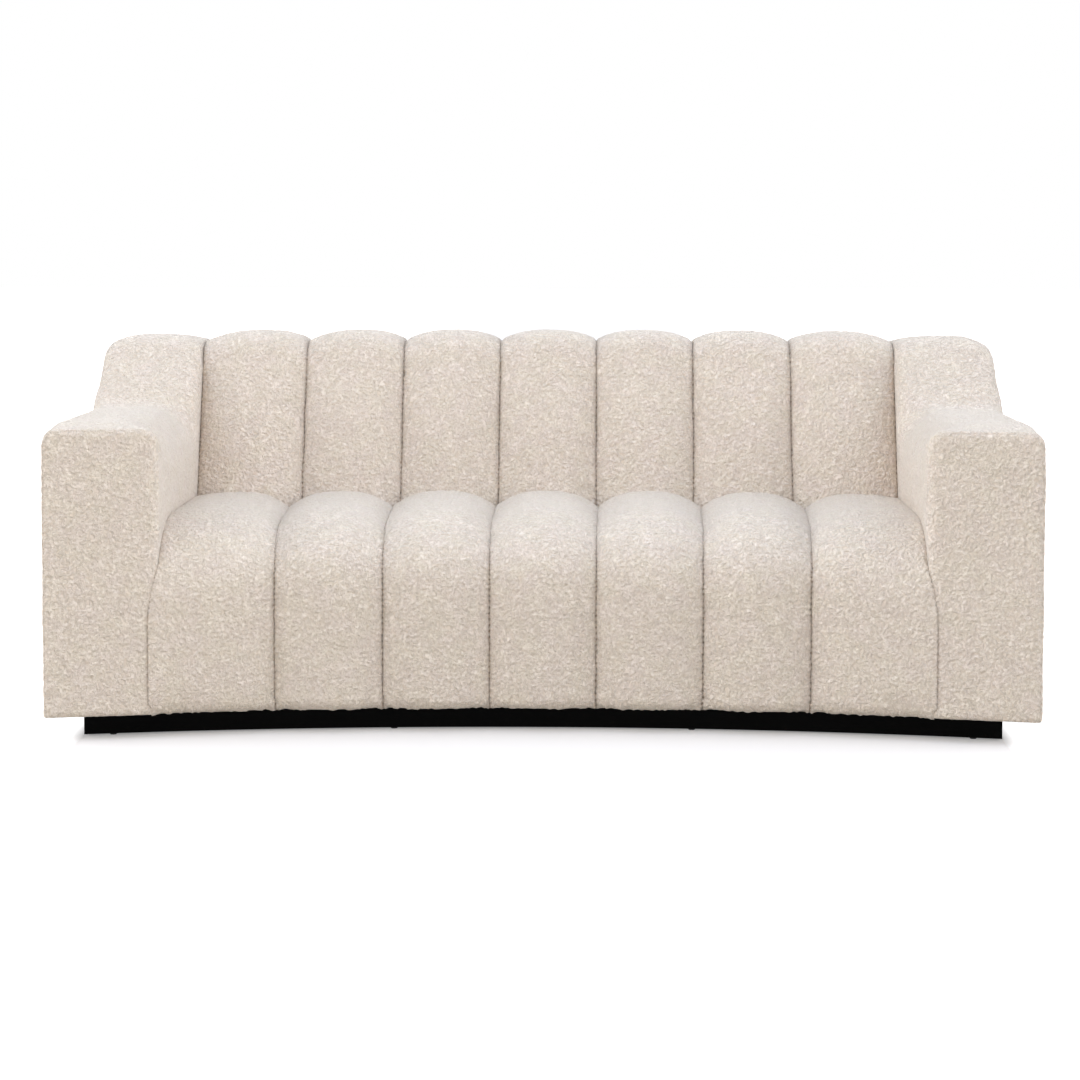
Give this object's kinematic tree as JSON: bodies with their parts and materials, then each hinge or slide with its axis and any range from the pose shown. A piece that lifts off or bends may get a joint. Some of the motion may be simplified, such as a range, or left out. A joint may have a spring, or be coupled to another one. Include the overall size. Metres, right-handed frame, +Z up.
{
  "type": "curved channel sofa",
  "caption": "Curved sofa with padded channel seat and back, block arms that sweep up into the back, and a black recessed plinth.",
  "frame": {"origin": "middle of the sofa's footprint, on the floor", "axes": "+X to the right as seen from the front, +Y towards the back, so the front faces -Y, +Z up"},
  "size_m": [2.01, 1.0096, 0.8],
  "materials": {
    "boucle": "matte",
    "black_lacquer": "satin",
    "plywood": "matte",
    "pine": "matte",
    "zinc_steel": "satin",
    "spring_steel": "satin",
    "black_cloth": "matte",
    "deck_felt": "matte",
    "foam": "matte",
    "webbing": "matte",
    "card": "matte",
    "nylon": "matte"
  },
  "bodies": {
    "root": {"left_arm_upholstery": "boucle", "right_arm_upholstery": "boucle", "outside_back_cover": "boucle", "seat_channel_1": "boucle", "seat_channel_2": "boucle", "seat_channel_3": "boucle", "seat_channel_4": "boucle", "seat_channel_5": "boucle", "seat_channel_6": "boucle", "seat_channel_7": "boucle", "back_channel_1": "boucle", "back_channel_2": "boucle", "back_channel_3": "boucle", "back_channel_4": "boucle", "back_channel_5": "boucle", "back_channel_6": "boucle", "back_channel_7": "boucle", "plinth_front": "black_lacquer", "plinth_rear": "black_lacquer", "plinth_left": "black_lacquer", "plinth_right": "black_lacquer", "front_rail": "plywood", "rear_rail": "plywood", "left_side_rail": "plywood", "right_side_rail": "plywood", "back_ribs": "plywood", "back_top_rail": "plywood", "back_lower_rail": "plywood", "back_base_rail": "plywood", "left_arm_inner_panel": "plywood", "left_arm_outer_panel": "plywood", "right_arm_inner_panel": "plywood", "right_arm_outer_panel": "plywood", "plinth_cross_braces": "pine", "plinth_corner_blocks": "pine", "seat_stretchers": "pine", "seat_corner_blocks": "pine", "left_arm_front_board": "pine", "left_arm_spacers": "pine", "right_arm_front_board": "pine", "right_arm_spacers": "pine", "plinth_screws": "zinc_steel", "spring_clips": "zinc_steel", "arm_bolts": "zinc_steel", "tee_nuts": "zinc_steel", "seat_springs": "spring_steel", "dust_cover": "black_cloth", "deck_cloth": "deck_felt", "seat_foam_core": "foam", "horizontal_webbing": "webbing", "vertical_webbing": "webbing", "outside_back_board": "card", "floor_glides": "nylon"}
  },
  "joints": []
}
